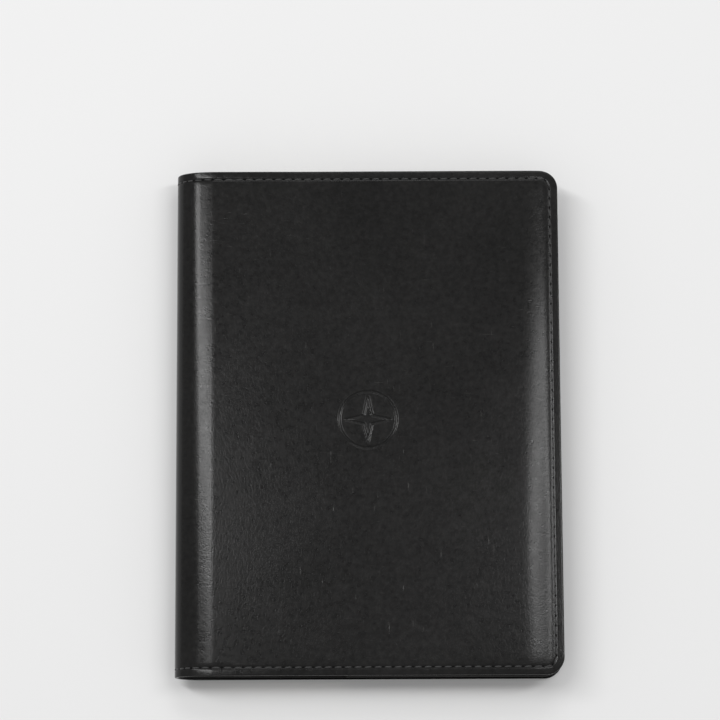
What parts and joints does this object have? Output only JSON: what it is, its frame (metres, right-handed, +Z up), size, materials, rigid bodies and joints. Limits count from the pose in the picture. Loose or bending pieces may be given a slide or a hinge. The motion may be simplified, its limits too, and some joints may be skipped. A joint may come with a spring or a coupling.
{
  "type": "pilot logbook",
  "caption": "Closed A5 hard-backed logbook of sewn paper sections, held by its boards in the stitched pockets of a black wrap-round leather cover with a round spine and a pressed compass star.",
  "frame": {"origin": "centre of the closed book's footprint, on the surface that it lies on", "axes": "+X from the spine to the fore-edge, +Y from the tail to the head, +Z up out of the front cover"},
  "size_m": [0.17, 0.225, 0.0221],
  "materials": {
    "cover_leather": "smooth black leather, semi-matt with a soft sheen",
    "lining_leather": "thin matt black leather",
    "pocket_leather": "thin smooth black leather",
    "seam_thread": "waxed black polyester thread",
    "book_cloth": "matt dark navy book cloth over board",
    "end_paper": "matt uncoated paper",
    "page_paper": "matt uncoated paper",
    "sewing_thread": "natural linen thread"
  },
  "bodies": {
    "back_cover": {"back_leather": "cover_leather", "back_lining": "lining_leather", "back_pocket": "pocket_leather", "back_seam_thread": "seam_thread", "back_board": "book_cloth", "back_pastedown": "end_paper", "back_flyleaf": "end_paper", "lower_sewing_thread": "sewing_thread", "page_section_1": "page_paper", "page_section_2": "page_paper", "page_section_3": "page_paper", "page_section_4": "page_paper"},
    "upper_pages": {"front_flyleaf": "end_paper", "upper_sewing_thread": "sewing_thread", "page_section_5": "page_paper", "page_section_6": "page_paper", "page_section_7": "page_paper", "page_section_8": "page_paper"},
    "joint_strip": {"joint_leather": "cover_leather", "joint_lining": "lining_leather"},
    "front_cover": {"front_leather": "cover_leather", "front_lining": "lining_leather", "front_pocket": "pocket_leather", "front_seam_thread": "seam_thread", "front_board": "book_cloth", "front_pastedown": "end_paper"},
    "spine_strip_1": {"spine_leather_1": "cover_leather", "spine_lining_1": "lining_leather"},
    "spine_strip_2": {"spine_leather_2": "cover_leather", "spine_lining_2": "lining_leather"},
    "spine_strip_3": {"spine_leather_3": "cover_leather", "spine_lining_3": "lining_leather"},
    "spine_strip_4": {"spine_leather_4": "cover_leather", "spine_lining_4": "lining_leather"},
    "spine_strip_5": {"spine_leather_5": "cover_leather", "spine_lining_5": "lining_leather"},
    "spine_strip_6": {"spine_leather_6": "cover_leather", "spine_lining_6": "lining_leather"},
    "spine_board": {"spine_board": "book_cloth"}
  },
  "joints": [
    {"name": "page_turn", "type": "hinge", "parent": "back_cover", "child": "upper_pages", "pos_m": [-0.07495, 0, 0.0109], "axis": [0, -1, 0], "range_deg": [0, 180]},
    {"name": "spine_board_hinge", "type": "hinge", "parent": "back_cover", "child": "spine_board", "pos_m": [-0.07997, 0, 0], "axis": [0, -1, 0], "range_deg": [0, 90]},
    {"name": "cover_turn", "type": "hinge", "parent": "spine_board", "child": "joint_strip", "pos_m": [-0.07997, 0, 0.0221], "axis": [0, -1, 0], "range_deg": [0, 90]},
    {"name": "front_cover_hinge", "type": "hinge", "parent": "joint_strip", "child": "front_cover", "pos_m": [-0.06395, 0, 0.0221], "axis": [0, -1, 0], "range_deg": [0, 170]},
    {"name": "spine_fold_1", "type": "hinge", "parent": "back_cover", "child": "spine_strip_1", "pos_m": [-0.07395, 0, 0], "axis": [0, -1, 0], "range_deg": [0, 18]},
    {"name": "spine_fold_2", "type": "hinge", "parent": "spine_strip_1", "child": "spine_strip_2", "pos_m": [-0.08045, 0, 0.00211], "axis": [0, -1, 0], "range_deg": [0, 36]},
    {"name": "spine_fold_3", "type": "hinge", "parent": "spine_strip_2", "child": "spine_strip_3", "pos_m": [-0.08446, 0, 0.00764], "axis": [0, -1, 0], "range_deg": [0, 36]},
    {"name": "spine_fold_4", "type": "hinge", "parent": "joint_strip", "child": "spine_strip_6", "pos_m": [-0.07395, 0, 0.0221], "axis": [0, -1, 0], "range_deg": [-18, 0]},
    {"name": "spine_fold_5", "type": "hinge", "parent": "spine_strip_6", "child": "spine_strip_5", "pos_m": [-0.08045, 0, 0.01999], "axis": [0, -1, 0], "range_deg": [-36, 0]},
    {"name": "spine_fold_6", "type": "hinge", "parent": "spine_strip_5", "child": "spine_strip_4", "pos_m": [-0.08446, 0, 0.01447], "axis": [0, -1, 0], "range_deg": [-36, 0]}
  ],
  "couplings": [
    {"joint": "spine_board_hinge", "follows": "page_turn", "ratio": 0.5},
    {"joint": "cover_turn", "follows": "page_turn", "ratio": 0.5},
    {"joint": "spine_fold_1", "follows": "page_turn", "ratio": 0.1},
    {"joint": "spine_fold_2", "follows": "page_turn", "ratio": 0.2},
    {"joint": "spine_fold_3", "follows": "page_turn", "ratio": 0.2},
    {"joint": "spine_fold_4", "follows": "page_turn", "ratio": -0.1},
    {"joint": "spine_fold_5", "follows": "page_turn", "ratio": -0.2},
    {"joint": "spine_fold_6", "follows": "page_turn", "ratio": -0.2}
  ]
}
